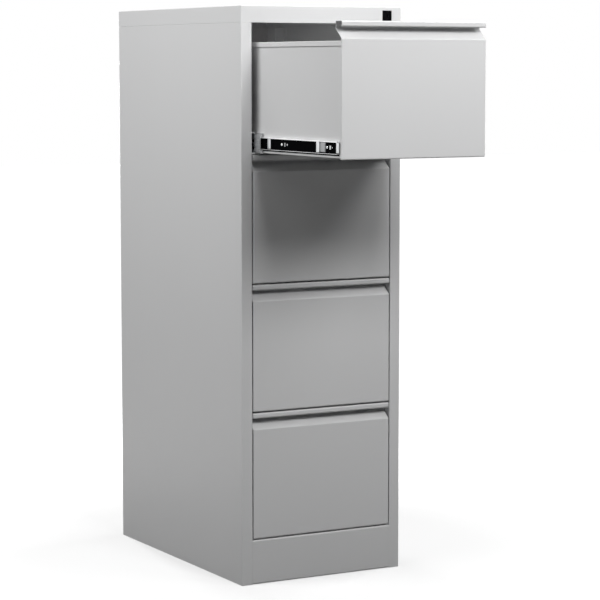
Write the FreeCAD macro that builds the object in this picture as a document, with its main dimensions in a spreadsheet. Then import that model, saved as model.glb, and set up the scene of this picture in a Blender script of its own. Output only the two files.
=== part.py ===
import FreeCAD, Part
import math
import os
import Sketcher
from FreeCAD import Placement, Rotation, Vector

# Four-drawer card index cabinet in folded sheet steel, the top drawer pulled part of the way out.
# +X is to the right of a person who faces the drawers, -Y points out of the front and +Z up.
# The origin is on the floor, under the middle of the carcass.

doc = FreeCAD.newDocument("card_index_cabinet")
sheet = doc.addObject("Spreadsheet::Sheet", "Sizes")


class Size:
    """A length or an angle: the formula that the sheet works out, and what it comes to."""

    def __init__(self, formula, value):
        self.formula = formula
        self.value = value

    def join(self, sign, other, value):
        return Size("(%s %s %s)" % (self.formula, sign, size_of(other).formula), value)

    def __add__(self, other):
        return self.join("+", other, self.value + size_of(other).value)

    def __sub__(self, other):
        return self.join("-", other, self.value - size_of(other).value)

    def __mul__(self, other):
        return self.join("*", other, self.value * size_of(other).value)

    def __truediv__(self, other):
        return self.join("/", other, self.value / size_of(other).value)

    def __neg__(self):
        return self * -1.0

    def __radd__(self, other):
        return size_of(other) + self

    def __rsub__(self, other):
        return size_of(other) - self

    def __rmul__(self, other):
        return size_of(other) * self


def size_of(number):
    """A plain number as a Size."""
    if isinstance(number, Size):
        return number
    return Size("(%.9f)" % number, float(number))


def size(alias, value):
    """Put one driving size on the sheet, under its own name."""
    size.row += 1
    sheet.set("A%d" % size.row, alias)
    sheet.set("B%d" % size.row, str(value))
    sheet.setAlias("B%d" % size.row, alias)
    return Size("Sizes." + alias, float(value))


size.row = 0

# Carcass
body_width = size("body_width", 420)
body_depth = size("body_depth", 655)
plinth_height = size("plinth_height", 105)
drawer_pitch = size("drawer_pitch", 294.5)
cap_height = size("cap_height", 38)
skin = size("skin", 1.0)
fold = size("fold", 2.0)
seam_fold = size("seam_fold", 0.8)
stile_width = size("stile_width", 27)
stile_return = size("stile_return", 25)
rear_return = size("rear_return", 20)
plinth_flange = size("plinth_flange", 25)
plinth_gap = size("plinth_gap", 1.7)
plinth_fold = size("plinth_fold", 4)
back_margin = size("back_margin", 3)
seam_gap = size("seam_gap", 0.5)
pan_drop = size("pan_drop", 7)
pan_flange = size("pan_flange", 20)
pan_end_gap = size("pan_end_gap", 1)
bar_width = size("bar_width", 60)
bar_height = size("bar_height", 25)
frame_sheet = size("frame_sheet", 1.5)
post_width = size("post_width", 36)
post_lip = size("post_lip", 10)
post_inset = size("post_inset", 1)
front_post_inset = size("front_post_inset", 60)
rear_post_setback = size("rear_post_setback", 56)
channel_inset = size("channel_inset", 48)
channel_depth = size("channel_depth", 25)

# Drawers
front_side_gap = size("front_side_gap", 2.5)
front_bottom_gap = size("front_bottom_gap", 0.8)
front_top_gap = size("front_top_gap", 2.4)
front_return = size("front_return", 4.5)
front_fold = size("front_fold", 3.2)
lip_height = size("lip_height", 12.2)
lip_return = size("lip_return", 4)
recess_depth = size("recess_depth", 25)
recess_wall = size("recess_wall", 16.5)
recess_height = size("recess_height", 38)
slide_space = size("slide_space", 15)
tray_floor = size("tray_floor", 3)
tray_drop = size("tray_drop", 3.6)
tray_seat = size("tray_seat", 0.3)
rear_clearance = size("rear_clearance", 20)
hem_height = size("hem_height", 10.5)
hem_proud = size("hem_proud", 2.2)
hem_slant = size("hem_slant", 0.7)
hem_fold = size("hem_fold", 1.3)
liner_flange = size("liner_flange", 14)
back_flange = size("back_flange", 14)
first_opening = size("first_opening", 398)

# Telescopic slides
slide_sheet = size("slide_sheet", 1.5)
slide_centre = size("slide_centre", 25)
fixed_height = size("fixed_height", 48)
fixed_side_gap = size("fixed_side_gap", 3)
fixed_start = size("fixed_start", 6)
slide_rear_gap = size("slide_rear_gap", 39)
race_gap = size("race_gap", 0.3)
middle_offset = size("middle_offset", 3.9)
middle_side_gap = size("middle_side_gap", 0.8)
middle_start = size("middle_start", 170)
middle_rear_gap = size("middle_rear_gap", 6)
inner_side_gap = size("inner_side_gap", 0.6)
inner_start = size("inner_start", 31)
ball_gap = size("ball_gap", 0.35)
ball_play = size("ball_play", 0.4)
rivet_radius = size("rivet_radius", 3.5)
rivet_head = size("rivet_head", 1.2)
rivet_inset = size("rivet_inset", 26)

# Central lock
lock_inset = size("lock_inset", 38.5)
lock_square = size("lock_square", 23.5)
lock_flange = size("lock_flange", 2.5)
lock_edge = size("lock_edge", 1)
barrel_radius = size("barrel_radius", 9)
plug_radius = size("plug_radius", 6)
housing_fit = size("housing_fit", 0.1)
running_fit = size("running_fit", 0.3)
key_slot_width = size("key_slot_width", 1.6)
key_slot_height = size("key_slot_height", 7.5)
key_slot_depth = size("key_slot_depth", 8)
plug_sink = size("plug_sink", 0.6)
lock_turn = size("lock_turn", 45)
cam_sheet = size("cam_sheet", 2)
cam_gap = size("cam_gap", 5)
barrel_gap = size("barrel_gap", 1)
cam_pin_radius = size("cam_pin_radius", 2.5)
cam_pin_reach = size("cam_pin_reach", 2)
cam_eye_wall = size("cam_eye_wall", 1.5)
pin_play = size("pin_play", 0.8)
rod_setback = size("rod_setback", 7)
rod_side_gap = size("rod_side_gap", 1.5)
rod_width = size("rod_width", 12)
rod_sheet = size("rod_sheet", 3)
rod_foot_gap = size("rod_foot_gap", 2)
rod_head_wall = size("rod_head_wall", 3)
rod_head_gap = size("rod_head_gap", 1.8)
catch_side_gap = size("catch_side_gap", 4)
catch_height = size("catch_height", 12)
stud_drop = size("stud_drop", 50.5)
stud_radius = size("stud_radius", 4)
stud_side_gap = size("stud_side_gap", 5)
stud_gap = size("stud_gap", 4)
guide_height = size("guide_height", 12)
guide_wall = size("guide_wall", 3)
guide_play = size("guide_play", 0.4)
guide_side_gap = size("guide_side_gap", 0.5)

# Fasteners
screw_radius = size("screw_radius", 4)
screw_head = size("screw_head", 2)

DRAWERS = 4
RIVETS = 3
GUIDE_PLACES = (0.15, 2.1, 3.9)

# Places that several pieces share
half_width = body_width / 2
face = -body_depth / 2
rear = body_depth / 2
shell_top = plinth_height + drawer_pitch * DRAWERS
top = shell_top + cap_height
stile_edge = half_width - stile_width
post_face = stile_edge - post_inset
post_top = shell_top - skin
pan_level = plinth_height - pan_drop
edge_flange = stile_width - rod_width - rod_side_gap * 2
front_half = stile_edge - front_side_gap
crown = drawer_pitch - front_top_gap
slope_foot = crown - recess_height
tray_half = stile_edge - slide_space
tray_top = slope_foot - tray_drop
tray_end = rear - skin - rear_clearance

# Places on the slides, each measured at one side
slide_end = rear - slide_rear_gap
fixed_low = slide_centre - fixed_height / 2
fixed_high = slide_centre + fixed_height / 2
middle_web = post_face - slide_sheet - middle_offset
middle_inside = middle_web - slide_sheet
race = slide_sheet + race_gap
ball_radius = (middle_inside - tray_half) / 2 - ball_gap
inner_height = fixed_height - (race + slide_sheet + (ball_radius + ball_play) * 2) * 2

# Places on the lock, with the cam and the rod at their upper stop
lock_x = half_width - lock_inset
lock_z = shell_top + cap_height / 2
turn_cosine = Size("cos(%s * 1 deg)" % lock_turn.formula, math.cos(math.radians(lock_turn.value)))
turn_sine = Size("sin(%s * 1 deg)" % lock_turn.formula, math.sin(math.radians(lock_turn.value)))
rod_near = face + stile_return + rod_setback
rod_far = rod_near + rod_sheet
rod_low = stile_edge + rod_side_gap
rod_high = rod_low + rod_width
slot_half = cam_pin_radius + pin_play
rod_head = slot_half + rod_head_wall
pin_lift = cap_height / 2 - skin - rod_head_gap - rod_head
cam_throw = pin_lift / turn_sine
pin_x = lock_x + cam_throw * turn_cosine
pin_z = lock_z + pin_lift
cam_near = rod_near - cam_gap - cam_sheet
rod_travel = pin_lift * 2
stud_height = tray_top - stud_drop

doc.recompute()


def origin_plane(body, role):
    """One of a body's own origin planes, found by its role."""
    return next(part for part in body.Origin.OriginFeatures if part.Role == role)


class Piece:
    """A sub-part: one body, and the features that shape it."""

    AXES = {"XY_Plane": (0, 1, 2), "XZ_Plane": (0, 2, 1), "YZ_Plane": (1, 2, 0)}

    def __init__(self, label, place=(0, 0, 0)):
        self.body = doc.addObject("PartDesign::Body", label)
        self.body.Label = label
        move(self.body, place)
        self.count = 0

    def name(self, kind):
        self.count += 1
        return "%s_%s_%d" % (self.body.Label, kind, self.count)

    def pad(self, plane, points, start, end):
        """A closed outline of straight sides, padded from start to end along its normal."""
        start, end = size_of(start), size_of(end)
        outline = self.body.newObject("Sketcher::SketchObject", self.name("outline"))
        outline.AttachmentSupport = (origin_plane(self.body, plane), [""])
        outline.MapMode = "FlatFace"
        backwards = plane == "XZ_Plane"
        offset = -start if backwards else start
        outline.setExpression("AttachmentOffset.Base.z", offset.formula)
        corners = [Vector(u.value, v.value, 0) for u, v in points]
        sides = [Part.LineSegment(a, b) for a, b in zip(corners, corners[1:] + corners[:1])]
        outline.addGeometry(sides, False)
        count = len(sides)
        for side in range(count):
            outline.addConstraint(Sketcher.Constraint("Coincident", side, 2, (side + 1) % count, 1))
        for side, (u, v) in enumerate(points):
            for kind, number in (("DistanceX", u), ("DistanceY", v)):
                row = outline.addConstraint(Sketcher.Constraint(kind, -1, 1, side, 1, number.value))
                outline.setExpression("Constraints[%d]" % row, number.formula)
        pad = self.body.newObject("PartDesign::Pad", self.name("pad"))
        pad.Profile = outline
        pad.Reversed = backwards
        pad.setExpression("Length", (end - start).formula)
        outline.Visibility = False
        return pad

    def folded(self, plane, path, start, end, thickness=None, bend=None, side=1):
        """Sheet folded along a path of its outer face, with the sheet to the path's left if side is 1."""
        thickness = thickness or skin
        bend = bend or fold
        path = [(size_of(u), size_of(v)) for u, v in path]
        inner = offset_path(path, thickness, side)
        self.pad(plane, path + inner[::-1], start, end)
        doc.recompute()
        outside, inside = [], []
        for before, corner, after, match in zip(path, path[1:], path[2:], inner[1:]):
            turn = (corner[0].value - before[0].value) * (after[1].value - corner[1].value)
            turn -= (corner[1].value - before[1].value) * (after[0].value - corner[0].value)
            sharp, hollow = (corner, match) if turn * side > 0 else (match, corner)
            outside.append(sharp)
            inside.append(hollow)
        self.round_along(plane, outside, bend)
        self.round_along(plane, inside, bend - thickness)

    def round_along(self, plane, corners, radius):
        """Round the edges that run along the plane's normal through the given corners."""
        first, second, along = self.AXES[plane]
        spots = [(u.value, v.value) for u, v in corners]

        def runs_there(edge):
            low, high = edge.Vertexes[0].Point, edge.Vertexes[-1].Point
            if abs(high[along] - low[along]) < edge.Length - 0.001:
                return False
            return any(abs(low[first] - u) + abs(low[second] - v) < 0.01 for u, v in spots)

        self.round_edges(runs_there, radius)

    def round_edges(self, wanted, radius):
        """Round every straight edge, in the body's own frame, that the test picks."""
        base = self.body.Tip
        names = ["Edge%d" % (index + 1) for index, edge in enumerate(base.Shape.Edges) if wanted(edge)]
        if not names:
            raise RuntimeError(self.body.Label + " has no edge to round")
        fillet = self.body.newObject("PartDesign::Fillet", self.name("fillet"))
        fillet.Base = (base, names)
        fillet.setExpression("Radius", size_of(radius).formula)
        doc.recompute()

    def primitive(self, kind, base, numbers, rotation=None):
        shape = self.body.newObject("PartDesign::" + kind, self.name(kind))
        shape.MapMode = "Deactivated"
        if rotation:
            shape.Placement = Placement(Vector(0, 0, 0), rotation)
        for letter, number in zip("xyz", base):
            shape.setExpression("Placement.Base." + letter, size_of(number).formula)
        for key, number in numbers.items():
            shape.setExpression(key, size_of(number).formula)
        return shape

    def box(self, low, high, cut=False):
        """A block added between two corners, or cut away."""
        kind = "SubtractiveBox" if cut else "AdditiveBox"
        spans = [size_of(b) - a for a, b in zip(low, high)]
        self.primitive(kind, low, dict(zip(("Length", "Width", "Height"), spans)))

    def cylinder(self, base, axis, radius, length, cut=False):
        """A round bar added from base along the x, y or z axis, or a hole cut there."""
        kind = "SubtractiveCylinder" if cut else "AdditiveCylinder"
        turn = {
            "x": Rotation(Vector(0, 1, 0), 90),
            "y": Rotation(Vector(1, 0, 0), -90),
            "z": Rotation(),
        }[axis]
        self.primitive(kind, base, {"Radius": radius, "Height": length}, turn)


def unit(first, second):
    """The direction from one point of a path to the next, plain along an axis and a formula on a slant."""
    du, dv = second[0] - first[0], second[1] - first[1]
    if abs(dv.value) < 1e-9:
        return size_of(1 if du.value > 0 else -1), size_of(0)
    if abs(du.value) < 1e-9:
        return size_of(0), size_of(1 if dv.value > 0 else -1)
    square = du * du + dv * dv
    length = Size("sqrt(%s)" % square.formula, square.value**0.5)
    return du / length, dv / length


def offset_path(path, distance, side):
    """The path moved sideways by a distance, mitred at its corners."""
    steps = [unit(a, b) for a, b in zip(path, path[1:])]
    normals = [(-v * side, u * side) for u, v in steps]
    moved = []
    for place, (u, v) in enumerate(path):
        before = normals[max(place - 1, 0)]
        after = normals[min(place, len(normals) - 1)]
        lean = before[0] * after[0] + before[1] * after[1] + 1
        moved.append(
            (
                u + distance * (before[0] + after[0]) / lean,
                v + distance * (before[1] + after[1]) / lean,
            )
        )
    return moved


def span(side, near, far):
    """Two distances from the middle as low and high X on the left (-1) or right (1) side."""
    ends = sorted((size_of(near) * side, size_of(far) * side), key=lambda end: end.value)
    return ends[0], ends[1]


def move(item, place):
    """Place an object at three sizes."""
    for letter, number in zip("xyz", place):
        item.setExpression("Placement.Base." + letter, size_of(number).formula)


def block_of(name, low, high):
    """A block between two corners, to build a grouped piece from."""
    block = doc.addObject("Part::Box", name)
    move(block, low)
    for key, near, far in zip(("Length", "Width", "Height"), low, high):
        block.setExpression(key, (size_of(far) - near).formula)
    return block


def group(label, solids):
    """Equal pieces that share one name, as separate solids."""
    holder = doc.addObject("Part::Compound", label)
    holder.Label = label
    holder.Links = solids
    return holder


SIDES = (("left", -1), ("right", 1))
POST_PLACES = {"front": face + front_post_inset, "rear": slide_end - rear_post_setback}


def side_panel(name, side):
    """Side of the carcass with its folded front stile, rear return and inward edge flanges."""
    piece = Piece(name + "_side_panel")
    back = rear - skin
    stile_floor = plinth_height - plinth_gap
    path = [
        (stile_edge * side, face),
        (half_width * side, face),
        (half_width * side, back),
        ((half_width - rear_return) * side, back),
    ]
    piece.folded("XY_Plane", path, 0, shell_top, side=side)
    low, high = span(side, stile_edge, stile_edge + skin)
    piece.box((low, face, stile_floor), (high, face + stile_return, shell_top))
    doc.recompute()
    piece.round_edges(
        lambda edge: vertical_at(edge, stile_edge.value * side, face.value, shell_top.value / 2),
        seam_fold,
    )
    low, high = span(side, half_width - edge_flange, half_width - skin)
    inset = face + skin
    piece.box((low, inset, shell_top - skin), (high, back - skin, shell_top))
    piece.box((low, inset, 0), (high, back - skin, skin))
    doc.recompute()
    piece.round_edges(
        lambda edge: level_at(edge, half_width.value * side, shell_top.value), seam_fold
    )


def vertical_at(edge, x, y, least):
    """Whether an edge stands on the spot x, y and is at least so long."""
    low, high = edge.Vertexes[0].Point, edge.Vertexes[-1].Point
    on_spot = abs(low.x - x) + abs(low.y - y) + abs(high.x - x) + abs(high.y - y) < 0.01
    return on_spot and edge.Length > least


def level_at(edge, x, z):
    """Whether an edge runs along Y at x, z."""
    ends = [vertex.Point for vertex in edge.Vertexes]
    return all(abs(end.x - x) + abs(end.z - z) < 0.01 for end in ends)


def back_panel():
    """Flat back with flanges that tuck in under the cap and on the floor."""
    piece = Piece("back_panel")
    half = half_width - back_margin
    inner = half_width - rear_return - seam_gap
    piece.box((-half, rear - skin, 0), (half, rear, shell_top))
    for low in (size_of(0), shell_top - skin):
        piece.box((-inner, rear - skin - rear_return, low), (inner, rear - skin, low + skin))


def top_cap():
    """Folded lid that closes the top, flush with the carcass, with a hole for the lock."""
    piece = Piece("top_cap")
    piece.box((-half_width, face, shell_top), (half_width, rear, top))
    doc.recompute()
    height = cap_height.value

    def corner(edge):
        ends = [vertex.Point for vertex in edge.Vertexes]
        upright = abs(ends[0].z - ends[1].z) > height - 0.01
        return upright or all(abs(end.z - top.value) < 0.01 for end in ends)

    piece.round_edges(corner, fold)
    piece.box(
        (-half_width + skin, face + skin, shell_top),
        (half_width - skin, rear - skin, top - skin),
        cut=True,
    )
    inner = half_width - edge_flange
    for low, high in (
        ((-half_width + skin, face + skin), (half_width - skin, face + edge_flange)),
        ((-half_width + skin, rear - edge_flange), (half_width - skin, rear - skin)),
        ((-half_width + skin, face + skin), (-inner, rear - skin)),
        ((inner, face + skin), (half_width - skin, rear - skin)),
    ):
        piece.box((*low, shell_top), (*high, shell_top + skin))
    doc.recompute()

    def rim(edge):
        ends = [vertex.Point for vertex in edge.Vertexes]
        if any(abs(end.z - shell_top.value) > 0.01 for end in ends):
            return False
        on_side = all(abs(abs(end.x) - half_width.value) < 0.01 for end in ends)
        on_front = all(abs(abs(end.y) - rear.value) < 0.01 for end in ends)
        return on_side or on_front or edge.Length < 2 * fold.value

    piece.round_edges(rim, seam_fold)
    piece.cylinder((lock_x, face - 1, lock_z), "y", barrel_radius + housing_fit, skin + 2, cut=True)


def top_cross_channel():
    """Channel under the cap that ties the side panels' top flanges together."""
    piece = Piece("top_cross_channel")
    near = face + channel_inset
    path = [
        (near + channel_depth, shell_top + skin),
        (near, shell_top + skin),
        (near, top - skin),
        (near + channel_depth, top - skin),
    ]
    half = half_width - edge_flange - seam_gap
    piece.folded("YZ_Plane", path, -half, half, side=-1)


def plinth_panel():
    """Kick plate between the stiles, with a top flange under the lowest drawer front."""
    piece = Piece("plinth_panel")
    crown = plinth_height - plinth_gap
    path = [(face + plinth_flange, 0), (face, 0), (face, crown), (face + plinth_flange, crown)]
    piece.folded("YZ_Plane", path, -stile_edge, stile_edge, bend=plinth_fold, side=-1)


def base_pan():
    """Floor of the drawer space, with flanges down along the side panels."""
    piece = Piece("base_pan")
    inside = half_width - skin
    path = [
        (-inside, pan_level - pan_flange),
        (-inside, pan_level),
        (inside, pan_level),
        (inside, pan_level - pan_flange),
    ]
    near = face + plinth_flange + pan_end_gap
    far = rear - skin - rear_return - pan_end_gap
    piece.folded("XZ_Plane", path, near, far, side=-1)


def floor_cross_bar():
    """Channel across the middle of the base that the cabinet also stands on."""
    piece = Piece("floor_cross_bar")
    half = bar_width / 2
    path = [(-half, bar_height), (-half, 0), (half, 0), (half, bar_height)]
    reach = half_width - edge_flange
    piece.folded("YZ_Plane", path, -reach, reach, thickness=frame_sheet, bend=frame_sheet * 2)


def post(name, side, place, near):
    """Hat section upright that carries the ends of the slides."""
    piece = Piece("%s_%s_post" % (place, name))
    far = near + post_width
    lip = (half_width - skin - frame_sheet) * side
    inner = post_face * side
    path = [
        (lip, near - post_lip),
        (lip, near),
        (inner, near),
        (inner, far),
        (lip, far),
        (lip, far + post_lip),
    ]
    piece.folded(
        "XY_Plane",
        path,
        pan_level,
        post_top,
        thickness=frame_sheet,
        bend=frame_sheet * 2,
        side=-side,
    )


def lock_housing():
    """Square lock case on the front of the cap, with its round body behind."""
    piece = Piece("lock_housing")
    half = lock_square / 2
    piece.box(
        (lock_x - half, face - lock_flange, lock_z - half), (lock_x + half, face, lock_z + half)
    )
    doc.recompute()
    front = (face - lock_flange).value
    piece.round_edges(
        lambda edge: all(abs(vertex.Point.y - front) < 0.01 for vertex in edge.Vertexes), lock_edge
    )
    barrel_end = cam_near - barrel_gap
    piece.cylinder((lock_x, face, lock_z), "y", barrel_radius, barrel_end - face)
    bore_start = face - lock_flange - 1
    bore = plug_radius + running_fit
    piece.cylinder((lock_x, bore_start, lock_z), "y", bore, cam_near - bore_start, cut=True)


def lock_plug():
    """Turning plug with its key slot."""
    piece = Piece("lock_plug")
    front = face - lock_flange + plug_sink
    piece.cylinder((lock_x, front, lock_z), "y", plug_radius, cam_near - front)
    half_slot, half_key = key_slot_width / 2, key_slot_height / 2
    piece.box(
        (lock_x - half_slot, front - 1, lock_z - half_key),
        (lock_x + half_slot, front + key_slot_depth, lock_z + half_key),
        cut=True,
    )


def lock_cam():
    """Crank on the back of the plug, with the pin that lifts the rod."""
    piece = Piece("lock_cam")
    pin_far = rod_far + cam_pin_reach
    piece.cylinder((lock_x, cam_near, lock_z), "y", plug_radius, cam_sheet)
    piece.cylinder((pin_x, cam_near, pin_z), "y", cam_pin_radius + cam_eye_wall, cam_sheet)
    across, down = cam_pin_radius * turn_sine, cam_pin_radius * turn_cosine
    arm = [
        (lock_x + across, lock_z - down),
        (pin_x + across, pin_z - down),
        (pin_x - across, pin_z + down),
        (lock_x - across, lock_z + down),
    ]
    piece.pad("XZ_Plane", arm, cam_near, cam_near + cam_sheet)
    piece.cylinder((pin_x, cam_near, pin_z), "y", cam_pin_radius, pin_far - cam_near)


def lock_rod():
    """Flat rod behind the right stile."""
    piece = Piece("lock_rod")
    foot = pan_level + rod_travel + rod_foot_gap
    piece.box((rod_low, rod_near, foot), (rod_high, rod_far, pin_z - rod_head))


def lock_rod_head():
    """Slotted plate at the top of the rod, which the cam's pin lifts."""
    piece = Piece("lock_rod_head")
    slot_near = pin_x - slot_half
    slot_far = lock_x + cam_throw + slot_half
    low = (slot_near - rod_head_wall, rod_near, pin_z - rod_head)
    piece.box(low, (rod_high, rod_far, pin_z + rod_head))
    piece.box(
        (slot_near, rod_near - 1, pin_z - slot_half),
        (slot_far, rod_far + 1, pin_z + slot_half),
        cut=True,
    )


def lock_catches():
    """Catches along the rod's inner edge, one for each drawer, in one group."""
    catches = []
    half = catch_height / 2
    for drawer in range(DRAWERS):
        middle = plinth_height + drawer_pitch * drawer + stud_height + rod_travel
        low = (tray_half + catch_side_gap, rod_near, middle - half)
        high = (rod_low, rod_far, middle + half)
        catches.append(block_of("lock_catches_%d" % (drawer + 1), low, high))
    group("lock_catches", catches)


def rod_guides():
    """Slotted blocks on the side panel that the rod slides through, in one group."""
    blocks = []
    for number, height in enumerate(GUIDE_PLACES):
        level = plinth_height + drawer_pitch * height
        label = "lock_rod_guides_%d" % (number + 1)
        low = (stile_edge + guide_side_gap, rod_near - guide_wall, level)
        high = (half_width - skin, rod_far + guide_wall, level + guide_height)
        block = block_of(label + "_block", low, high)
        low = (rod_low - guide_play, rod_near - guide_play, level - 1)
        high = (rod_high + guide_play, rod_far + guide_play, level + guide_height + 1)
        slot = block_of(label + "_slot", low, high)
        guide = doc.addObject("Part::Cut", label)
        guide.Base = block
        guide.Tool = slot
        blocks.append(guide)
    group("lock_rod_guides", blocks)


def front_skin(drawer, place):
    """Outer skin of a drawer front: pull lip, finger recess and shallow edge returns."""
    piece = Piece("drawer_%d_front" % drawer, place)
    low = front_bottom_gap
    path = [
        (face + lip_return, crown - lip_height),
        (face, crown - lip_height),
        (face, crown),
        (face + recess_depth + skin, crown),
        (face + recess_depth + skin, crown - recess_wall),
        (face + skin, slope_foot),
        (face + skin, low + skin),
        (face + front_return, low + skin),
    ]
    piece.folded("YZ_Plane", path, -front_half, front_half, bend=front_fold, side=-1)
    for side in (-1, 1):
        near, far = span(side, front_half - skin, front_half)
        piece.box((near, face + skin, low + skin), (far, face + front_return, slope_foot))
    doc.recompute()
    x, least = front_half.value, slope_foot.value / 2
    piece.round_edges(
        lambda edge: vertical_at(edge, x, face.value, least) or vertical_at(edge, -x, face.value, least),
        seam_fold,
    )


def front_liner(drawer, place):
    """Inner panel that closes the back of a drawer front."""
    piece = Piece("drawer_%d_liner" % drawer, place)
    half = tray_half - skin
    near = face + recess_depth + skin
    floor = tray_floor + skin * 1.5
    path = [
        (-half, near + skin - liner_flange),
        (-half, near + skin),
        (half, near + skin),
        (half, near + skin - liner_flange),
    ]
    piece.folded("XY_Plane", path, floor, tray_top, side=-1)
    piece.box((-half, near, tray_top), (half, near + skin, crown - skin))


def drawer_body(drawer, place):
    """Drawer of one folded sheet with hemmed file rails, and its back."""
    piece = Piece("drawer_%d_body" % drawer, place)
    wall = tray_half - skin
    floor = tray_floor + skin
    hem = tray_half + hem_proud
    left = [
        (-(hem + hem_slant), tray_top - hem_height),
        (-hem, tray_top),
        (-wall, tray_top),
        (-wall, floor),
    ]
    right = [(-u, v) for u, v in reversed(left)]
    piece.folded("XZ_Plane", left + right, face + skin + tray_seat, tray_end, bend=hem_fold, side=-1)
    piece.box((-wall, tray_end - skin, floor), (wall, tray_end, tray_top))
    piece.box((-wall, tray_end - back_flange, tray_top - skin), (wall, tray_end - skin, tray_top))


def lock_stud(drawer, place):
    """Stud on the right wall of a drawer that a catch of the lock rod holds back."""
    piece = Piece("drawer_%d_lock_stud" % drawer, place)
    seat = (tray_half, rod_far + stud_gap + stud_radius, stud_height)
    piece.cylinder(seat, "x", stud_radius, stile_edge - stud_side_gap - tray_half)


def channel(label, place, side, web, edge, heights, ends):
    """A slide member: a channel with its web and its flange edges at two distances from the middle."""
    piece = Piece(label, place)
    opening = 1 if web.value > edge.value else -1
    low, high = heights
    path = [(edge * side, low), (web * side, low), (web * side, high), (edge * side, high)]
    bend = slide_sheet * 1.5
    way = side * opening
    piece.folded("XZ_Plane", path, *ends, thickness=slide_sheet, bend=bend, side=way)
    return piece


def slides(drawer, closed_place, middle_place, drawer_place):
    """The cabinet, middle and drawer members of a drawer's two slides."""
    fixed_edge = tray_half + fixed_side_gap
    fixed_ends = (face + fixed_start, slide_end)
    middle_edge = tray_half + middle_side_gap
    middle_ends = (face + middle_start, slide_end - middle_rear_gap)
    inner_edge = middle_inside - inner_side_gap
    inner_ends = (face + inner_start, slide_end)
    fixed_heights = (fixed_low, fixed_high)
    middle_heights = (fixed_low + race, fixed_high - race)
    inner_heights = (slide_centre - inner_height / 2, slide_centre + inner_height / 2)
    rivet_pitch = (inner_ends[1] - inner_ends[0] - rivet_inset * 2) / (RIVETS - 1)
    rivet_seat = tray_half + slide_sheet
    for name, side in SIDES:
        label = "drawer_%d_%s_" % (drawer, name)
        channel(
            label + "cabinet_slide",
            closed_place,
            side,
            post_face,
            fixed_edge,
            fixed_heights,
            fixed_ends,
        )
        channel(
            label + "middle_slide",
            middle_place,
            side,
            middle_web,
            middle_edge,
            middle_heights,
            middle_ends,
        )
        inner = channel(
            label + "drawer_slide",
            drawer_place,
            side,
            tray_half,
            inner_edge,
            inner_heights,
            inner_ends,
        )
        low, _ = span(side, rivet_seat, rivet_seat + rivet_head)
        for number in range(RIVETS):
            along = inner_ends[0] + rivet_inset + rivet_pitch * number
            inner.cylinder((low, along, slide_centre), "x", rivet_radius, rivet_head)


def slide_screws():
    """Pan heads that hold the cabinet members to the posts, in one group."""
    heads = []
    seat = post_face - slide_sheet
    for drawer in range(DRAWERS):
        level = plinth_height + drawer_pitch * drawer + slide_centre
        for _, side in SIDES:
            for near in POST_PLACES.values():
                head = doc.addObject("Part::Cylinder", "slide_screws_%d" % (len(heads) + 1))
                head.Placement = Placement(Vector(0, 0, 0), Rotation(Vector(0, 1, 0), -90 * side))
                move(head, (seat * side, near + post_width / 2, level))
                head.setExpression("Radius", screw_radius.formula)
                head.setExpression("Height", screw_head.formula)
                heads.append(head)
    group("slide_screws", heads)


for name, side in SIDES:
    side_panel(name, side)
back_panel()
top_cap()
top_cross_channel()
plinth_panel()
base_pan()
floor_cross_bar()
for name, side in SIDES:
    for place, near in POST_PLACES.items():
        post(name, side, place, near)
slide_screws()
lock_housing()
lock_plug()
lock_cam()
lock_rod()
lock_rod_head()
lock_catches()
rod_guides()
for drawer in range(1, DRAWERS + 1):
    level = plinth_height + drawer_pitch * (DRAWERS - drawer)
    opening = first_opening if drawer == 1 else size_of(0)
    closed = (0, 0, level)
    halfway = (0, -opening / 2, level)
    opened = (0, -opening, level)
    front_skin(drawer, opened)
    front_liner(drawer, opened)
    drawer_body(drawer, opened)
    lock_stud(drawer, opened)
    slides(drawer, closed, halfway, opened)
doc.recompute()

faulty = [item.Label for item in doc.Objects if "Invalid" in item.State or "Error" in item.State]
if faulty:
    raise RuntimeError("faulty features: " + ", ".join(faulty))

os.makedirs("parts", exist_ok=True)
for item in doc.Objects:
    if item.TypeId not in ("PartDesign::Body", "Part::Compound"):
        continue
    if item.Shape.isNull() or not item.Shape.isValid():
        raise RuntimeError("faulty shape: " + item.Label)
    item.Shape.exportStep("parts/%s.step" % item.Label)
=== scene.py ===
import math
from typing import NamedTuple

import bmesh
import bpy
from bpy.props import FloatProperty, FloatVectorProperty, IntProperty, PointerProperty
from mathutils import Matrix, Vector


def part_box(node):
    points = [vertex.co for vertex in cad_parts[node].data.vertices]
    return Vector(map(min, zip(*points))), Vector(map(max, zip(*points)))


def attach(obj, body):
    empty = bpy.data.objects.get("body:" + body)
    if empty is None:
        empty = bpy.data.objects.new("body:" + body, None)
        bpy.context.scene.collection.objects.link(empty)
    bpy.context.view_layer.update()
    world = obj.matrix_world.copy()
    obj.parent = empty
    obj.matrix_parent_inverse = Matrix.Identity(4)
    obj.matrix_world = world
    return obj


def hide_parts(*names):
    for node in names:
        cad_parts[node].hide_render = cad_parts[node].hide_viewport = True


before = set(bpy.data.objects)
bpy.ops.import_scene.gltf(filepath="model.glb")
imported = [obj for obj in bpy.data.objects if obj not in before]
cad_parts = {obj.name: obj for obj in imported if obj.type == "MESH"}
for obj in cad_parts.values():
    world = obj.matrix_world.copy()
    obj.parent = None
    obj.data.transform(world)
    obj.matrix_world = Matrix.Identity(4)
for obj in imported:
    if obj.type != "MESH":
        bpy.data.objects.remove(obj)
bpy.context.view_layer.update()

bl_info = {
    "name": "Card Index Cabinet",
    "version": (1, 0, 0),
    "blender": (4, 5, 0),
    "location": "3D View > Sidebar > Cabinet",
    "description": "Finishes, slide details and a plain stage for a four-drawer card index cabinet",
    "category": "Object",
}

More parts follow.
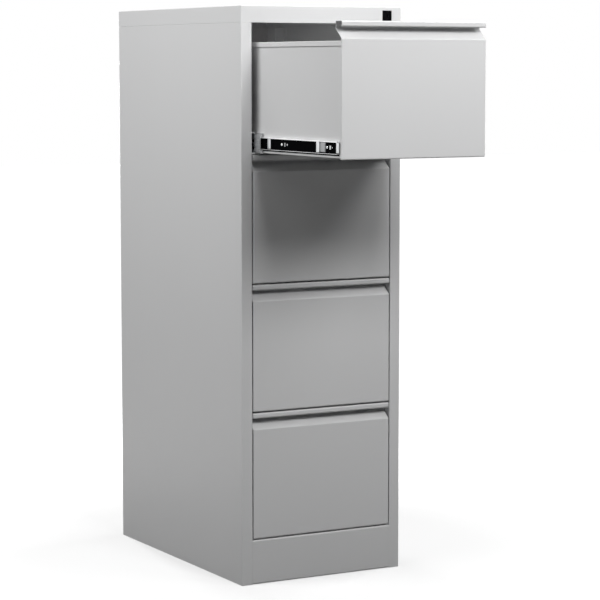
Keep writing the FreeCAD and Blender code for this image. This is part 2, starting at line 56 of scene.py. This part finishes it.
DRAWERS = (1, 2, 3, 4)
SIDES = {"left": -1, "right": 1}
SLIDE_SHEET = 0.0015
BALL_STEPS = (12, 8)
RIVET_STEPS = 14
CREASE_ANGLE = math.radians(35)
WELD_DISTANCE = 1e-6
# Refractive indexes near 1, which keep a black surface black where it is seen along its face
LACQUER_INDEX = 1.02
BLACK_INDEX = 1.05


# Fittings of the slides, in metres

class Plate(NamedTuple):
    """A pressed plate on a member's web, placed from one end of the member."""

    start: float
    end: float
    half_width: float
    height: float


class Rivet(NamedTuple):
    """A rivet head on a member's web, placed from one end of the member."""

    place: float
    radius: float
    height: float


BRIGHT_PLATES = {
    "front clip": Plate(start=-0.003, end=0.0075, half_width=0.0112, height=0.0022),
    "latch clip": Plate(start=0.078, end=0.0902, half_width=0.0114, height=0.0040),
    "rear clip": Plate(start=0.3008, end=0.3143, half_width=0.0112, height=0.0018),
    "front tab": Plate(start=0.0319, end=0.0369, half_width=0.0042, height=0.0016),
}
BRIGHT_RIVETS = {
    "latch rivet": Rivet(place=0.0493, radius=0.0030, height=0.0016),
    "rear rivet": Rivet(place=0.2504, radius=0.0032, height=0.0016),
    "front rivet": Rivet(place=0.0255, radius=0.0025, height=0.0014),
}
DULL_PLATES = {
    "rear tab": Plate(start=0.2325, end=0.2375, half_width=0.0042, height=0.0016),
    "latch": Plate(start=0.0535, end=0.078, half_width=0.0104, height=0.0020),
    "latch tongue": Plate(start=0.0545, end=0.0615, half_width=0.0092, height=0.0034),
}
DULL_RIVETS = {
    "tab rivet": Rivet(place=0.2255, radius=0.0024, height=0.0012),
}
REAR_STOP = Plate(start=-0.017, end=-0.003, half_width=0.0106, height=0.0042)
MIDDLE_RIVET = Rivet(place=0.033, radius=0.0036, height=0.0012)
MIDDLE_RIVET_RISES = (-0.0115, 0.005)
SCREW_TURNS = {"front": math.radians(20), "rear": math.radians(65)}


# Lamps of the stage, in metres

class Lamp(NamedTuple):
    """A disk that lights the spot it faces."""

    place: tuple
    target: tuple
    width: float


LAMPS = {
    "front": Lamp(place=(0, -2.6, 2.4), target=(0, 0, 1.0), width=1.0),
    "right": Lamp(place=(0.9, -1.6, 2.2), target=(0, -0.3, 1.1), width=0.8),
    "corner": Lamp(place=(-1.4, -0.6, 2.3), target=(0, 0, 0.9), width=1.2),
    "side": Lamp(place=(-2.2, 0.2, 2.4), target=(0, 0, 1.0), width=1.2),
    "cap": Lamp(place=(0.1, -0.6, 2.1), target=(0, -0.33, 1.3), width=0.4),
    "inside": Lamp(place=(-0.12, -0.05, 1.26), target=(0.2, 0.15, 1.24), width=0.05),
    "far_side": Lamp(place=(2.4, 0.2, 1.4), target=(0, 0, 0.9), width=1.2),
    "back": Lamp(place=(0, 2.7, 1.0), target=(0, 0, 0.9), width=0.4),
}


# Properties

def colour_setting(name, description, default):
    """A colour that a user can change."""
    return FloatVectorProperty(
        name=name, description=description, default=default, size=3, subtype="COLOR", min=0, max=1,
    )


def length_setting(name, description, default):
    """A size in metres that a user can change."""
    return FloatProperty(name=name, description=description, default=default, unit="LENGTH")


def power_setting(name, description, default):
    """The power of a lamp in watts."""
    return FloatProperty(name=name, description=description, default=default, unit="POWER")


class CabinetFinishes(bpy.types.PropertyGroup):
    """Colours and gloss of the cabinet's finishes."""

    coat_colour: colour_setting("Coat", "Powder coat on all the painted sheet", (0.63, 0.632, 0.635))
    coat_roughness: FloatProperty(
        name="Coat Roughness", description="How matt the powder coat is",
        subtype="FACTOR", min=0, max=1, default=0.36,
    )
    peel_size: length_setting("Orange Peel", "Distance between the bumps of the powder coat", 0.0017)
    zinc_colour: colour_setting(
        "Zinc", "Plating on the slides, the screws and the lock rod", (0.60, 0.61, 0.62),
    )
    # Painted highlight: the lips of the drawers' slide members take this pale zinc, far paler than the
    # plain zinc, to show the bright line where light catches their bends.
    lip_highlight_colour: colour_setting(
        "Zinc Lip Highlight", "Rolled lips of the drawers' slide members", (0.93, 0.935, 0.94),
    )
    steel_colour: colour_setting("Steel", "Balls of the slides", (0.62, 0.62, 0.63))
    # Black lacquer, which also paints shade: the inside of the drawers' slide members, and the strip
    # below each of them that paints its shadow.
    lacquer_and_shade_colour: colour_setting(
        "Black Lacquer", "Lining of the drawers' slide members", (0.0025, 0.0025, 0.003),
    )
    lock_colour: colour_setting("Lock Black", "Case and plug of the lock", (0.004, 0.004, 0.0045))
    nylon_colour: colour_setting("Nylon", "Guides of the lock rod", (0.62, 0.61, 0.57))


class CabinetSlides(bpy.types.PropertyGroup):
    """Sizes of the details on the telescopic slides."""

    ball_radius: length_setting("Ball Radius", "Radius of a bearing ball", 0.0032)
    ball_pitch: length_setting("Ball Pitch", "Distance from ball to ball", 0.0092)
    balls: IntProperty(
        name="Balls", description="Balls in each race of a slide", default=13, min=1,
    )
    cage_start: length_setting(
        "Cage Start", "How far the cages start behind the middle member's front end", 0.003,
    )
    screw_radius: length_setting("Screw Radius", "Radius of a slide screw's pan head", 0.004)
    screw_height: length_setting("Screw Height", "Height of a slide screw's pan head", 0.002)


class CabinetStage(bpy.types.PropertyGroup):
    """Camera and light of the stage."""

    lens: FloatProperty(
        name="Lens", description="Focal length of the camera, in millimetres", default=134.45,
    )
    camera_place: FloatVectorProperty(
        name="Camera", description="Where the camera stands", size=3, subtype="TRANSLATION",
        default=(-2.5496, -4.7948, 1.1865),
    )
    camera_dip: FloatProperty(
        name="Dip", description="How far below level the camera looks", unit="ROTATION", default=0.10413,
    )
    camera_heading: FloatProperty(
        name="Heading", description="How far to the right of straight back the camera looks",
        unit="ROTATION", default=0.50865,
    )
    front_power: power_setting("Front Light", "The high lamp before the cabinet", 46.5)
    right_power: power_setting("Right Light", "The weak lamp at the front right", 10.5)
    corner_power: power_setting("Corner Light", "The lamp above the left corner", 10.5)
    side_power: power_setting("Side Light", "The high lamp at the left", 37)
    cap_power: power_setting("Cap Light", "The small lamp above the open drawer", 4)
    inside_power: power_setting("Inside Light", "The weak lamp in the drawer space", 0.14)
    far_side_power: power_setting("Far Side Light", "The lamp at the right", 30)
    back_power: power_setting("Back Light", "The small lamp behind the cabinet", 36)


# Shader nodes

class Wire:
    """A node's output that can stand in a sum."""

    def __init__(self, nodes, socket):
        self.nodes = nodes
        self.socket = socket

    def maths(self, operation, first, second=0.0):
        return self.nodes.node("ShaderNodeMath", {"operation": operation}, {0: first, 1: second})

    def either(self, other):
        """The larger of two values, which is 1 where either of two masks is."""
        return self.maths("MAXIMUM", self, other)

    def about(self, mean, spread):
        """A noise of 0 to 1 turned into values about a mean."""
        return self * spread + (mean - spread / 2)

    def __add__(self, other):
        return self.maths("ADD", self, other)

    def __sub__(self, other):
        return self.maths("SUBTRACT", self, other)

    def __rsub__(self, other):
        return self.maths("SUBTRACT", other, self)

    def __mul__(self, other):
        return self.maths("MULTIPLY", self, other)

    def __lt__(self, other):
        return self.maths("LESS_THAN", self, other)

    def __mod__(self, other):
        return self.maths("FLOORED_MODULO", self, other)

    def __abs__(self):
        return self.maths("ABSOLUTE", self)


class Nodes:
    """The node tree of a material or of the world."""

    def __init__(self, owner):
        owner.use_nodes = True
        self.tree = owner.node_tree

    def node(self, kind, settings=None, inputs=None, output=0):
        """Add a node: its settings first, then the values or wires of its sockets."""
        made = self.tree.nodes.new(kind)
        for key, value in (settings or {}).items():
            setattr(made, key, value)
        for key, value in (inputs or {}).items():
            self.feed(made.inputs[key], value)
        return Wire(self, made.outputs[output])

    def feed(self, socket, value):
        if isinstance(value, Wire):
            self.tree.links.new(value.socket, socket)
        else:
            socket.default_value = value

    def seen(self):
        """1 for the rays that the camera or a reflection sends, and 0 for those that light."""
        camera = self.node("ShaderNodeLightPath", output="Is Camera Ray")
        path = camera.socket.node
        glossy = Wire(self, path.outputs["Is Glossy Ray"])
        clear = Wire(self, path.outputs["Is Transmission Ray"])
        return camera.either(glossy).either(clear)


class Finish(Nodes):
    """A material built on one principled shader."""

    def __init__(self, name, **constants):
        self.material = bpy.data.materials.new(name)
        super().__init__(self.material)
        self.shader = self.tree.nodes["Principled BSDF"]
        for key, value in constants.items():
            self.set(key.replace("_", " "), value)
        self.place = self.node("ShaderNodeTexCoord", output="Object")

    def set(self, socket, value):
        self.feed(self.shader.inputs[socket], value)

    def noise(self, scale, detail=2.0, stretch=None):
        """Noise with so many features to the metre, drawn out along the axes by stretch."""
        place = self.place
        if stretch:
            place = self.node("ShaderNodeMapping", inputs={"Vector": place, "Scale": stretch})
        return self.node("ShaderNodeTexNoise", inputs={"Vector": place, "Scale": scale, "Detail": detail})

    def tint(self, colour, tone):
        """A colour made lighter or darker by a tone that runs about 1."""
        return self.node(
            "ShaderNodeMix", {"data_type": "RGBA", "blend_type": "MULTIPLY"},
            {0: 1.0, 6: (*colour, 1), 7: tone}, output=2,
        )

    def mix(self, mask, first, second):
        """The first colour where the mask is 0 and the second where it is 1."""
        return self.node("ShaderNodeMix", {"data_type": "RGBA"}, {0: mask, 6: first, 7: second}, output=2)

    def bump(self, height, strength, distance):
        return self.node(
            "ShaderNodeBump", inputs={"Height": height, "Strength": strength, "Distance": distance},
        )


# Finishes

def powder_coat(look):
    """Light powder coat: fine orange peel, a soft sheen that varies a little."""
    broad_scale, broad_share = 0.3, 0.6
    finish = Finish("powder_coat", IOR=1.5)
    clouds, patches = finish.noise(scale=4.0), finish.noise(scale=45.0)
    finish.set("Base Color", finish.tint(look.coat_colour, clouds.about(1.0, spread=0.03)))
    finish.set("Roughness", patches.about(look.coat_roughness, spread=0.08))
    fine = finish.noise(1 / look.peel_size, detail=1.0)
    broad = finish.noise(broad_scale / look.peel_size)
    finish.set("Normal", finish.bump(fine + broad * broad_share, strength=0.12, distance=0.0003))
    return finish.material


def zinc_plate(look, name="zinc_plate", lining_and_shade=None):
    """Bright zinc with faint drawing streaks along Y; with a mask, pale lips that paint a highlight about
    a black inside that stands for black lacquer and for the shade in the channel.
    """
    lacquer_roughness = 0.5
    finish = Finish(name, IOR=LACQUER_INDEX)
    streaks = finish.noise(scale=1.0, detail=3.0, stretch=(900, 9, 900))
    patches = finish.noise(scale=26.0)
    # The pale lip colour paints a highlight on the lips of a lined member.
    colour = look.lip_highlight_colour if lining_and_shade else look.zinc_colour
    tone = streaks.about(1.0, spread=0.22) + patches.about(0.0, spread=0.16)
    metal = finish.tint(colour, tone)
    roughness = streaks.about(0.3, spread=0.12) + patches.about(0.0, spread=0.14)
    if lining_and_shade:
        # The mask paints the inside of the channel black, for black lacquer and for the shade that falls
        # in the channel.
        mask = lining_and_shade(finish)
        finish.set("Base Color", finish.mix(mask, metal, (*look.lacquer_and_shade_colour, 1)))
        finish.set("Metallic", 1 - mask)
        finish.set("Roughness", roughness * (1 - mask) + mask * lacquer_roughness)
    else:
        finish.set("Base Color", metal)
        finish.set("Metallic", 1.0)
        finish.set("Roughness", roughness)
    finish.set("Normal", finish.bump(streaks, strength=0.1, distance=0.0002))
    return finish.material


def channel_lining_and_shade(finish):
    """1 on the black inside of a drawer's slide member, on any drawer, which stands for black lacquer and
    for painted shade in the channel, and 0 on its lips, which carry a painted highlight.
    """
    low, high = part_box("drawer_4_left_drawer_slide")
    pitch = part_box("drawer_3_left_drawer_slide")[0].z - low.z
    middle = (low.z + high.z) / 2
    half = (high.z - low.z) / 2
    lip, web = -low.x, -high.x
    upper_lip, lower_lip, lip_depth = 0.0022, 0.0007, 0.28
    across = finish.node("ShaderNodeSeparateXYZ", inputs={"Vector": finish.place}, output="X")
    height = Wire(finish, across.socket.node.outputs["Z"])
    level = (height + (pitch / 2 - middle % pitch)) % pitch - pitch / 2
    deep = abs(across) < lip - (lip - web) * lip_depth
    below_upper_lip = (deep * (level < half - upper_lip)).either(level < 0.0)
    return below_upper_lip * (level * -1.0 < half - lower_lip)


def dull_zinc(look):
    """Grey zinc on the pressed latches and tabs, duller than the rolled members."""
    finish = Finish("dull_zinc", Metallic=1.0)
    spangle = finish.noise(scale=420.0)
    finish.set("Base Color", finish.tint(look.zinc_colour, spangle.about(0.53, spread=0.3)))
    finish.set("Roughness", spangle.about(0.42, spread=0.16))
    finish.set("Normal", finish.bump(spangle, strength=0.15, distance=0.0002))
    return finish.material


def bearing_steel(look):
    """Polished steel of the balls, under a film of grease."""
    finish = Finish("bearing_steel", Metallic=1.0)
    film = finish.noise(scale=300.0)
    finish.set("Base Color", finish.tint(look.steel_colour, film.about(1.0, spread=0.2)))
    finish.set("Roughness", film.about(0.15, spread=0.14))
    return finish.material


def moulded(name, colour, roughness, index=1.49):
    """Moulded plastic with a fine spark-eroded grain."""
    finish = Finish(name, IOR=index)
    clouds, grit = finish.noise(scale=60.0), finish.noise(scale=1400.0)
    finish.set("Base Color", finish.tint(colour, clouds.about(1.0, spread=0.12)))
    finish.set("Roughness", grit.about(roughness, spread=0.16))
    finish.set("Normal", finish.bump(grit, strength=0.15, distance=0.0001))
    return finish.material


def finish_named(name):
    """A finish that an earlier step made."""
    if name not in bpy.data.materials:
        raise RuntimeError("the finish %s is not made yet" % name)
    return bpy.data.materials[name]


# Shapes

def block(bm, low, high, bevel, segments=2):
    """A block between two corners, with all its edges rounded by bevel."""
    low, high = Vector(low), Vector(high)
    size = high - low
    place = Matrix.Translation((low + high) / 2) @ Matrix.Diagonal((*size, 1))
    made = bmesh.ops.create_cube(bm, size=1, matrix=place)
    edges = list(dict.fromkeys(edge for vert in made["verts"] for edge in vert.link_edges))
    bmesh.ops.bevel(
        bm, geom=edges, offset=bevel, segments=segments, profile=0.5, affect="EDGES", material=-1,
    )


def turned(bm, profile, place, steps):
    """A solid turned about Z from a profile of radius and height that starts and ends on the axis."""
    verts = [bm.verts.new(place @ Vector((radius, 0, height))) for radius, height in profile]
    edges = [bm.edges.new(pair) for pair in zip(verts, verts[1:])]
    axis = place.to_3x3() @ Vector((0, 0, 1))
    bmesh.ops.spin(
        bm, geom=verts + edges, cent=place.translation, axis=axis, angle=math.tau, steps=steps,
        use_merge=True,
    )


def dome(bm, centre, sign, rivet):
    """A rivet head that stands out of a plane of constant X, away from the middle of the cabinet."""
    place = Matrix.Translation(centre) @ Matrix.Rotation(math.pi / 2 * sign, 4, "Y")
    radius, height = rivet.radius, rivet.height
    profile = [
        (0, height), (radius * 0.45, height * 0.95), (radius * 0.8, height * 0.7),
        (radius, height * 0.25), (radius, 0), (0, 0),
    ]
    turned(bm, profile, place, RIVET_STEPS)


def cross_screw(bm, place, radius, height):
    """A pan head with a cross recess that stands along Z on the origin of its place."""
    crown_width, crown_drop = 0.78, 0.25
    cross_reach, cross_width = 0.5, 0.05
    recess_depth, recess_taper = 0.55, 0.72
    flank = ((0.93, 0.72), (1.0, 0.38), (1.0, 0.0))
    grid_edge = 0.9
    head = bmesh.new()
    top = bmesh.ops.create_grid(head, x_segments=5, y_segments=5, size=1)["verts"]
    for vert in top:
        if max(abs(vert.co.x), abs(vert.co.y)) > grid_edge:
            vert.co = vert.co.normalized()
        vert.co *= radius * crown_width
        vert.co.z = height - vert.co.length_squared / radius * crown_drop
    centres = {face: face.calc_center_median().xy for face in head.faces}
    cross = [
        face for face, centre in centres.items()
        if centre.length < radius * cross_reach
        and min(abs(centre.x), abs(centre.y)) < radius * cross_width
    ]
    sunk = bmesh.ops.extrude_face_region(head, geom=cross)["geom"]
    bottom = [item for item in sunk if isinstance(item, bmesh.types.BMVert)]
    bmesh.ops.delete(head, geom=cross, context="FACES_ONLY")
    bmesh.ops.translate(head, verts=bottom, vec=(0, 0, -height * recess_depth))
    bmesh.ops.scale(head, verts=bottom, vec=(recess_taper, recess_taper, 1))
    rim = [edge for edge in head.edges if edge.is_boundary]
    for width, level in flank:
        ring = bmesh.ops.extrude_edge_only(head, edges=rim)["geom"]
        rim = [item for item in ring if isinstance(item, bmesh.types.BMEdge)]
        for vert in {vert for edge in rim for vert in edge.verts}:
            flat = vert.co.xy.normalized() * radius * width
            vert.co = (flat.x, flat.y, height * level)
    bmesh.ops.holes_fill(head, edges=rim)
    bmesh.ops.transform(head, matrix=place, verts=head.verts)
    mesh = bpy.data.meshes.new("screw")
    head.to_mesh(mesh)
    head.free()
    bm.from_mesh(mesh)
    bpy.data.meshes.remove(mesh)


def finished(bm, name, finish, body):
    """The piece of a mesh, in its finish, riding on its body."""
    bmesh.ops.remove_doubles(bm, verts=bm.verts, dist=WELD_DISTANCE)
    bmesh.ops.recalc_face_normals(bm, faces=bm.faces)
    mesh = bpy.data.meshes.new(name)
    bm.to_mesh(mesh)
    bm.free()
    mesh.materials.append(finish)
    mesh.shade_smooth()
    mesh.set_sharp_from_angle(angle=CREASE_ANGLE)
    piece = bpy.data.objects.new(name, mesh)
    bpy.context.scene.collection.objects.link(piece)
    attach(piece, body)
    return piece


# Operators

class CABINET_OT_finishes(bpy.types.Operator):
    """Make the cabinet's finishes and put them on the nodes that the CAD model shapes"""

    bl_idname = "cabinet.finishes"
    bl_label = "Finishes"

    def execute(self, context):
        look = context.scene.cabinet_finishes
        coat = powder_coat(look)
        zinc = zinc_plate(look)
        # Lined zinc: a painted highlight on the lips and painted shade with black lacquer inside the
        # channel.
        lined_and_shaded = zinc_plate(look, "lined_zinc", channel_lining_and_shade)
        bearing_steel(look)
        dull_zinc(look)
        lock = moulded("lock_black", look.lock_colour, roughness=0.35, index=BLACK_INDEX)
        # slide_black also colours the strip that paints the shadow below each drawer member.
        moulded("slide_black", look.lacquer_and_shade_colour, roughness=0.5, index=BLACK_INDEX)
        nylon = moulded("guide_nylon", look.nylon_colour, roughness=0.5)
        endings = {
            "_drawer_slide": lined_and_shaded, "_slide": zinc, "_lock_stud": zinc, "slide_screws": zinc,
            "lock_cam": zinc, "lock_rod_guides": nylon, "lock_rod": zinc, "lock_rod_head": zinc,
            "lock_catches": zinc, "lock_housing": lock, "lock_plug": lock,
        }
        for name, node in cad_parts.items():
            chosen = next((finish for end, finish in endings.items() if name.endswith(end)), coat)
            node.material_slots[0].material = chosen
        return {"FINISHED"}


class CABINET_OT_ball_cages(bpy.types.Operator):
    """Model the bearing balls of every slide, in the cages that keep them apart"""

    bl_idname = "cabinet.ball_cages"
    bl_label = "Ball Cages"

    def execute(self, context):
        slides = context.scene.cabinet_slides
        for drawer in DRAWERS:
            for side, sign in SIDES.items():
                self.cages(drawer, side, sign, slides)
        return {"FINISHED"}

    def cages(self, drawer, side, sign, slides):
        """Balls above and below the drawer member, a strip behind each row and a bar between balls."""
        lip_gap, wall_gap, ball_gap = 0.0009, 0.0011, 0.0001
        strip_near, strip_far = 0.0007, 0.0002
        strip_bevel, bar_bevel = 0.00015, 0.0003
        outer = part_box("drawer_%d_%s_middle_slide" % (drawer, side))
        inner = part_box("drawer_%d_%s_drawer_slide" % (drawer, side))
        wall = min(abs(inner[0].x), abs(inner[1].x))
        web = max(abs(outer[0].x), abs(outer[1].x)) - SLIDE_SHEET
        strip = sorted(((web - strip_near) * sign, (web - strip_far) * sign))
        bar = sorted(((wall + wall_gap) * sign, (web - strip_near) * sign))
        start = outer[0].y + slides.cage_start
        end = start + slides.ball_pitch * slides.balls
        reach = slides.ball_pitch / 2 - slides.ball_radius - ball_gap
        balls, cages = bmesh.new(), bmesh.new()
        for low, high in (
            (outer[0].z + SLIDE_SHEET, inner[0].z), (inner[1].z, outer[1].z - SLIDE_SHEET),
        ):
            level = (low + high) / 2
            bottom, top = low + lip_gap, high - lip_gap
            block(cages, (strip[0], start, bottom), (strip[1], end, top), strip_bevel, segments=1)
            for gap in range(slides.balls + 1):
                middle = start + slides.ball_pitch * gap
                first = middle - reach if gap else middle
                last = middle + reach if gap < slides.balls else middle
                block(cages, (bar[0], first, bottom), (bar[1], last, top), bar_bevel, segments=1)
            for ball in range(slides.balls):
                spot = Vector(((wall + web) / 2 * sign, start + slides.ball_pitch * (ball + 0.5), level))
                bmesh.ops.create_uvsphere(
                    balls, u_segments=BALL_STEPS[0], v_segments=BALL_STEPS[1],
                    radius=slides.ball_radius, matrix=Matrix.Translation(spot),
                )
        name = "drawer_%d_%s_" % (drawer, side)
        body = "middle_%d" % drawer
        finished(cages, name + "ball_cages", finish_named("zinc_plate"), body)
        finished(balls, name + "balls", finish_named("bearing_steel"), body)


class CABINET_OT_slide_fittings(bpy.types.Operator):
    """Model the clips, stops, tabs and rivets on the slides"""

    bl_idname = "cabinet.slide_fittings"
    bl_label = "Slide Fittings"

    def execute(self, context):
        for drawer in DRAWERS:
            for side, sign in SIDES.items():
                self.drawer_member(drawer, side, sign)
                self.middle_member(drawer, side, sign)
        return {"FINISHED"}

    def drawer_member(self, drawer, side, sign):
        """Bright clips, tabs and rivets, and the rear stop, on the black inside, over a black strip that
        paints the member's shadow on the drawer's side.
        """
        plate_bevel = 0.0004
        shadow_sheet, strip_bevel = 0.00025, 0.0001
        shadow_gap, shadow_drop = 0.0002, 0.0036
        low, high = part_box("drawer_%d_%s_drawer_slide" % (drawer, side))
        centre = (low.z + high.z) / 2
        wall = min(abs(low.x), abs(high.x))
        web = wall + SLIDE_SHEET

        def press(bm, plate, origin):
            near, far = sorted((web * sign, (web + plate.height) * sign))
            block(
                bm, (near, origin + plate.start, centre - plate.half_width),
                (far, origin + plate.end, centre + plate.half_width), plate_bevel,
            )

        def fitted(plates, rivets):
            bm = bmesh.new()
            for plate in plates.values():
                press(bm, plate, low.y)
            for rivet in rivets.values():
                dome(bm, Vector((web * sign, low.y + rivet.place, centre)), sign, rivet)
            return bm

        bright = fitted(BRIGHT_PLATES, BRIGHT_RIVETS)
        dull = fitted(DULL_PLATES, DULL_RIVETS)
        # Painted shadow: besides the rear stop, this black piece holds a thin strip on the drawer's side
        # just below the member, where the member's shadow falls.
        black = bmesh.new()
        press(black, REAR_STOP, high.y)
        near, far = sorted((wall * sign, (wall + shadow_sheet) * sign))
        block(
            black, (near, low.y, low.z - shadow_drop), (far, high.y, low.z - shadow_gap), strip_bevel,
        )
        name = "drawer_%d_%s_" % (drawer, side)
        body = "drawer_%d" % drawer
        finished(bright, name + "slide_clips", finish_named("zinc_plate"), body)
        finished(dull, name + "slide_latch", finish_named("dull_zinc"), body)
        finished(black, name + "slide_stop", finish_named("slide_black"), body)

    def middle_member(self, drawer, side, sign):
        """Black rivets near both ends of the middle member."""
        low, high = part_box("drawer_%d_%s_middle_slide" % (drawer, side))
        web = max(abs(low.x), abs(high.x))
        centre = (low.z + high.z) / 2
        bm = bmesh.new()
        for place in (low.y + MIDDLE_RIVET.place, high.y - MIDDLE_RIVET.place):
            for rise in MIDDLE_RIVET_RISES:
                dome(bm, Vector((web * sign, place, centre + rise)), sign, MIDDLE_RIVET)
        name = "drawer_%d_%s_middle_rivets" % (drawer, side)
        finished(bm, name, finish_named("slide_black"), "middle_%d" % drawer)


class CABINET_OT_slide_screws(bpy.types.Operator):
    """Model the cross-recessed screws that hold the slides to the posts"""

    bl_idname = "cabinet.slide_screws"
    bl_label = "Slide Screws"

    def execute(self, context):
        slides = context.scene.cabinet_slides
        low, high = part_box("slide_screws")
        ends = {"front": low.y + slides.screw_radius, "rear": high.y - slides.screw_radius}
        members = [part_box("drawer_%d_left_cabinet_slide" % drawer) for drawer in DRAWERS]
        bm = bmesh.new()
        for sign in SIDES.values():
            seat = high.x if sign > 0 else low.x
            for member in members:
                level = (member[0].z + member[1].z) / 2
                for end, along in ends.items():
                    place = Matrix.Translation((seat, along, level))
                    place @= Matrix.Rotation(-math.pi / 2 * sign, 4, "Y")
                    place @= Matrix.Rotation(SCREW_TURNS[end], 4, "Z")
                    cross_screw(bm, place, slides.screw_radius, slides.screw_height)
        piece = finished(bm, "slide_screw_heads", finish_named("zinc_plate"), "cabinet")
        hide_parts("slide_screws")
        return {"FINISHED"}


class CABINET_OT_stage(bpy.types.Operator):
    """Set the floor, the white surroundings, the lamps and the camera"""

    bl_idname = "cabinet.stage"
    bl_label = "Stage"

    def execute(self, context):
        stage = context.scene.cabinet_stage
        self.floor()
        self.surroundings(context.scene)
        for name, lamp in LAMPS.items():
            self.lamp(name + "_lamp", lamp, getattr(stage, name + "_power"))
        self.camera(context.scene, stage)
        context.scene.view_settings.view_transform = "Standard"
        return {"FINISHED"}

    def floor(self):
        """Pale floor that looks white away from the cabinet's shadow and throws little light back."""
        reach, grey, bounce = 20, (0.5, 0.5, 0.5), 0.06
        glow = {"From Min": 0.5, "From Max": 1.5, "To Min": 0.45, "To Max": 1.0}
        bm = bmesh.new()
        bmesh.ops.create_grid(bm, x_segments=1, y_segments=1, size=reach)
        mesh = bpy.data.meshes.new("floor")
        bm.to_mesh(mesh)
        bm.free()
        floor = bpy.data.objects.new("floor", mesh)
        bpy.context.scene.collection.objects.link(floor)
        finish = Finish("pale_floor", Roughness=0.9)
        seen = finish.seen()
        finish.set("Base Color", finish.tint(grey, seen * (1 - bounce) + bounce))
        distance = finish.node(
            "ShaderNodeVectorMath", {"operation": "LENGTH"}, {0: finish.place}, output="Value",
        )
        away = finish.node(
            "ShaderNodeMapRange", {"interpolation_type": "SMOOTHSTEP"}, {"Value": distance, **glow},
        )
        white = finish.node("ShaderNodeEmission", inputs={"Strength": seen * away})
        shown = finish.node(
            "ShaderNodeAddShader", inputs={0: Wire(finish, finish.shader.outputs[0]), 1: white},
        )
        finish.feed(finish.tree.nodes["Material Output"].inputs["Surface"], shown)
        mesh.materials.append(finish.material)

    def surroundings(self, scene):
        """White all around, which gives no light."""
        scene.world = bpy.data.worlds.new("surroundings")
        nodes = Nodes(scene.world)
        background = nodes.tree.nodes["Background"]
        nodes.feed(background.inputs["Color"], (1, 1, 1, 1))
        nodes.feed(background.inputs["Strength"], nodes.seen())

    def lamp(self, name, lamp, power):
        light = bpy.data.lights.new(name, "AREA")
        light.shape = "DISK"
        light.size = lamp.width
        light.energy = power
        made = bpy.data.objects.new(name, light)
        bpy.context.scene.collection.objects.link(made)
        made.location = lamp.place
        facing = Vector(lamp.target) - Vector(lamp.place)
        made.rotation_euler = facing.to_track_quat("-Z", "Y").to_euler()

    def camera(self, scene, stage):
        view = bpy.data.cameras.new("camera")
        view.lens = stage.lens
        camera = bpy.data.objects.new("camera", view)
        scene.collection.objects.link(camera)
        camera.location = stage.camera_place
        camera.rotation_euler = (math.pi / 2 - stage.camera_dip, 0, -stage.camera_heading)
        scene.camera = camera


OPERATORS = (
    CABINET_OT_finishes,
    CABINET_OT_ball_cages,
    CABINET_OT_slide_fittings,
    CABINET_OT_slide_screws,
    CABINET_OT_stage,
)
GROUPS = {
    "cabinet_finishes": CabinetFinishes, "cabinet_slides": CabinetSlides, "cabinet_stage": CabinetStage,
}


class CABINET_PT_panel(bpy.types.Panel):
    """The steps that finish the cabinet"""

    bl_idname = "CABINET_PT_panel"
    bl_label = "Card Index Cabinet"
    bl_space_type = "VIEW_3D"
    bl_region_type = "UI"
    bl_category = "Cabinet"

    def draw(self, context):
        for operator in OPERATORS:
            self.layout.operator(operator.bl_idname)
        for name in GROUPS:
            group = getattr(context.scene, name)
            box = self.layout.box()
            for key in group.bl_rna.properties.keys():
                if key not in ("rna_type", "name"):
                    box.prop(group, key)


def register():
    for item in (*GROUPS.values(), *OPERATORS, CABINET_PT_panel):
        bpy.utils.register_class(item)
    for name, group in GROUPS.items():
        setattr(bpy.types.Scene, name, PointerProperty(type=group))


def unregister():
    for name in GROUPS:
        delattr(bpy.types.Scene, name)
    for item in reversed((*GROUPS.values(), *OPERATORS, CABINET_PT_panel)):
        bpy.utils.unregister_class(item)


def main():
    register()
    bpy.ops.cabinet.finishes()
    bpy.ops.cabinet.ball_cages()
    bpy.ops.cabinet.slide_fittings()
    bpy.ops.cabinet.slide_screws()
    bpy.ops.cabinet.stage()


if __name__ == "__main__":
    main()
